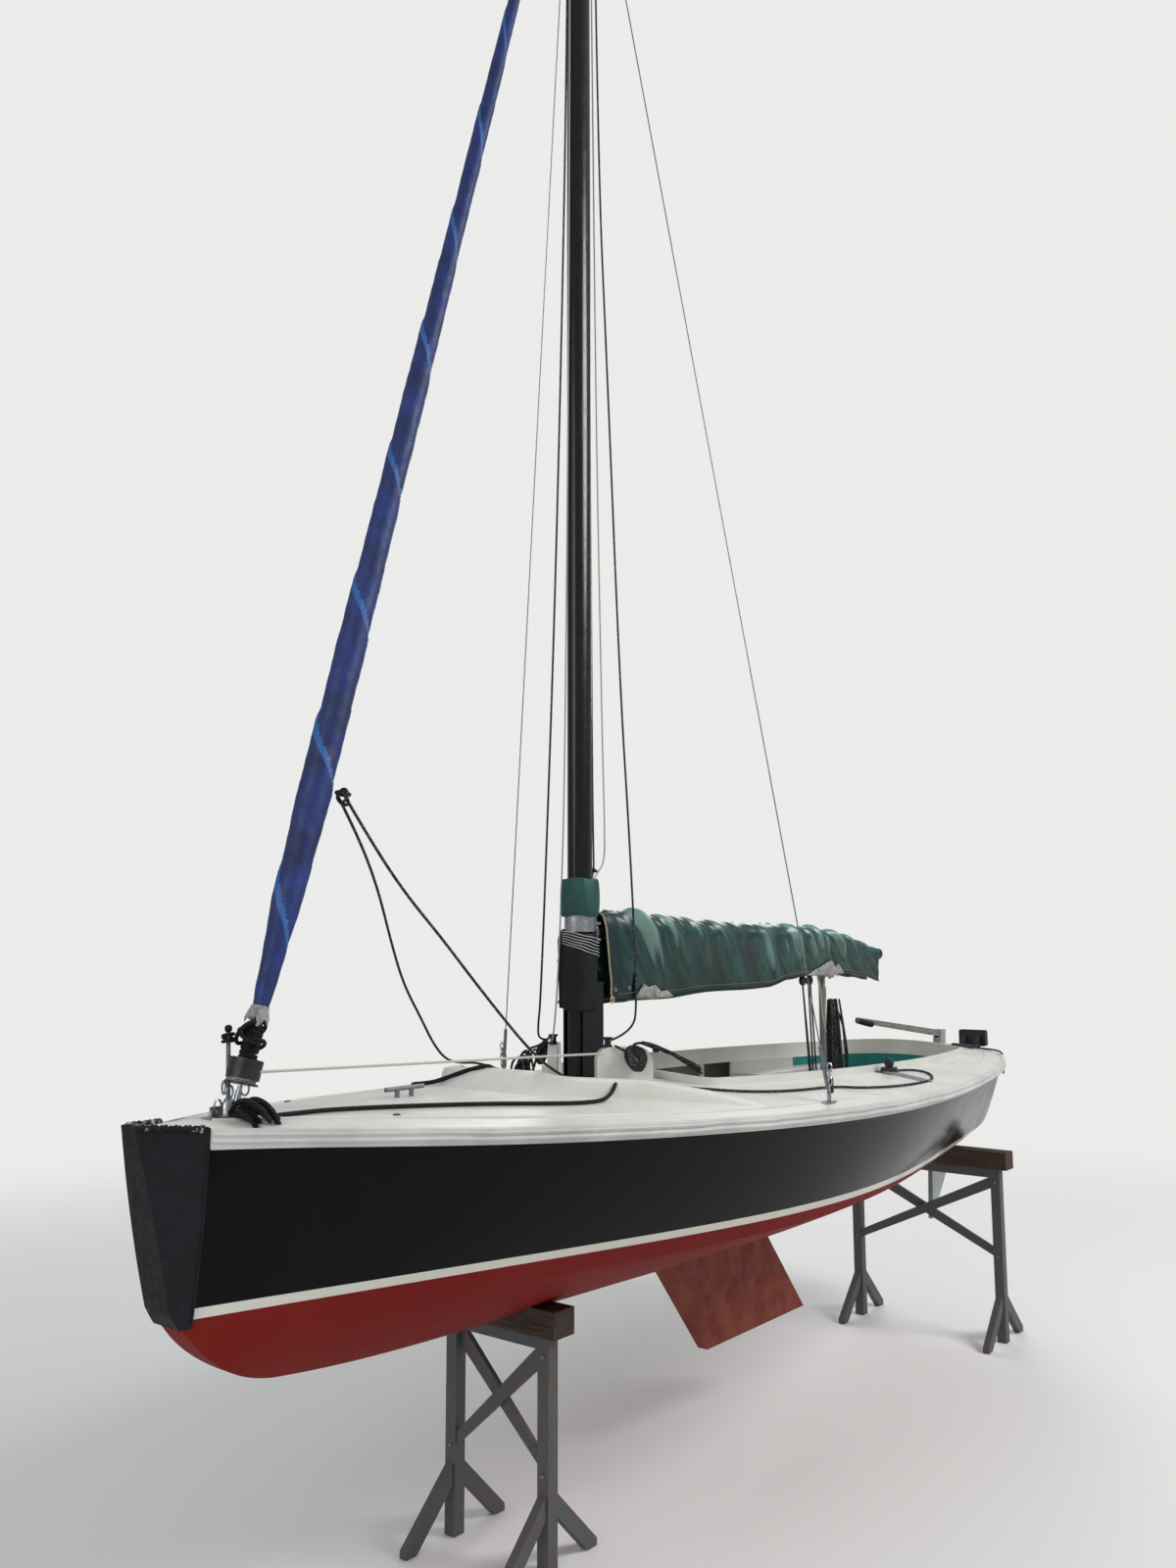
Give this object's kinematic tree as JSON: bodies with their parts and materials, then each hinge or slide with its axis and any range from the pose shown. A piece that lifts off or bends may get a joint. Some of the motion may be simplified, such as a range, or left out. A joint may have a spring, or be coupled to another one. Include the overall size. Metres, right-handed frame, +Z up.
{
  "type": "open keelboat laid up on trestles",
  "caption": "Open day sailing keelboat with fin keel, mast, stays, rolled jib, covered boom on a crutch and transom-hung rudder, laid up on steel trestles.",
  "frame": {"origin": "on the floor under the middle of the whole length and breadth", "axes": "+X forward to the bow, +Y to port, +Z up along the mast"},
  "size_m": [6.5461, 2.2666, 9.672],
  "materials": {
    "topside_gloss": "gloss",
    "deck_white": "satin",
    "liner_white": "satin",
    "rail_grey": "matte",
    "cover_black": "matte",
    "cover_green": "glossy coated",
    "sail_cloth": "matte",
    "keel_iron": "painted",
    "mast_black": "gloss",
    "panel_turquoise": "matte",
    "bright_steel": "polished",
    "fitting_black": "matte",
    "blade_grey": "satin",
    "trestle_steel": "satin",
    "timber": "raw"
  },
  "bodies": {
    "hull": {"hull_shell": "topside_gloss", "deck": "deck_white", "rub_rail": "rail_grey", "stem_cover": "cover_black", "keel_fin": "keel_iron", "breakwater": "deck_white", "cockpit_lip": "deck_white", "seat_backs": "panel_turquoise", "deck_posts": "liner_white", "cockpit_sole": "liner_white", "bulkheads": "liner_white", "seat_port": "liner_white", "seat_starboard": "liner_white", "mast": "mast_black", "tabernacle": "bright_steel", "halyard_plate_port": "deck_white", "halyard_plate_starboard": "deck_white", "mast_collar": "cover_green", "winch_port": "bright_steel", "winch_starboard": "bright_steel", "hounds": "bright_steel", "mast_cap": "fitting_black", "shroud_port": "bright_steel", "shroud_starboard": "bright_steel", "chainplates": "bright_steel", "stem_fitting": "bright_steel", "forestay_foot": "bright_steel", "forestay_head": "bright_steel", "gooseneck_bracket": "bright_steel", "boom_crutch": "trestle_steel", "bow_cleat": "bright_steel", "sheet_tracks": "bright_steel", "motor_bracket": "fitting_black", "gudgeons": "bright_steel", "trestle_fore": "trestle_steel", "trestle_aft": "trestle_steel", "baulk_fore": "timber", "baulk_aft": "timber"},
    "furler": {"furling_drum": "fitting_black", "rolled_jib": "sail_cloth", "head_swivel": "fitting_black"},
    "gooseneck": {"gooseneck": "bright_steel"},
    "boom": {"boom": "mast_black", "sail_cover": "cover_green"},
    "rudder": {"rudder_blade": "blade_grey", "rudder_head": "blade_grey", "tiller": "timber", "pintles": "bright_steel"}
  },
  "joints": [
    {"name": "boom_swing", "type": "hinge", "parent": "hull", "child": "gooseneck", "pos_m": [0.857, 0, 2.585], "axis": [0, 0, 1], "range_deg": [-55, 55]},
    {"name": "boom_lift", "type": "hinge", "parent": "gooseneck", "child": "boom", "pos_m": [0.811, 0, 2.585], "axis": [0, 1, 0], "range_deg": [0, 15]},
    {"name": "steering", "type": "hinge", "parent": "hull", "child": "rudder", "pos_m": [-2.901, 0, 1.24], "axis": [-0.2309, 0, 0.973], "range_deg": [-38, 38]},
    {"name": "furling", "type": "hinge", "parent": "hull", "child": "furler", "pos_m": [2.86, 0, 1.98489], "axis": [-0.2637, 0, 0.9646], "continuous": true}
  ]
}
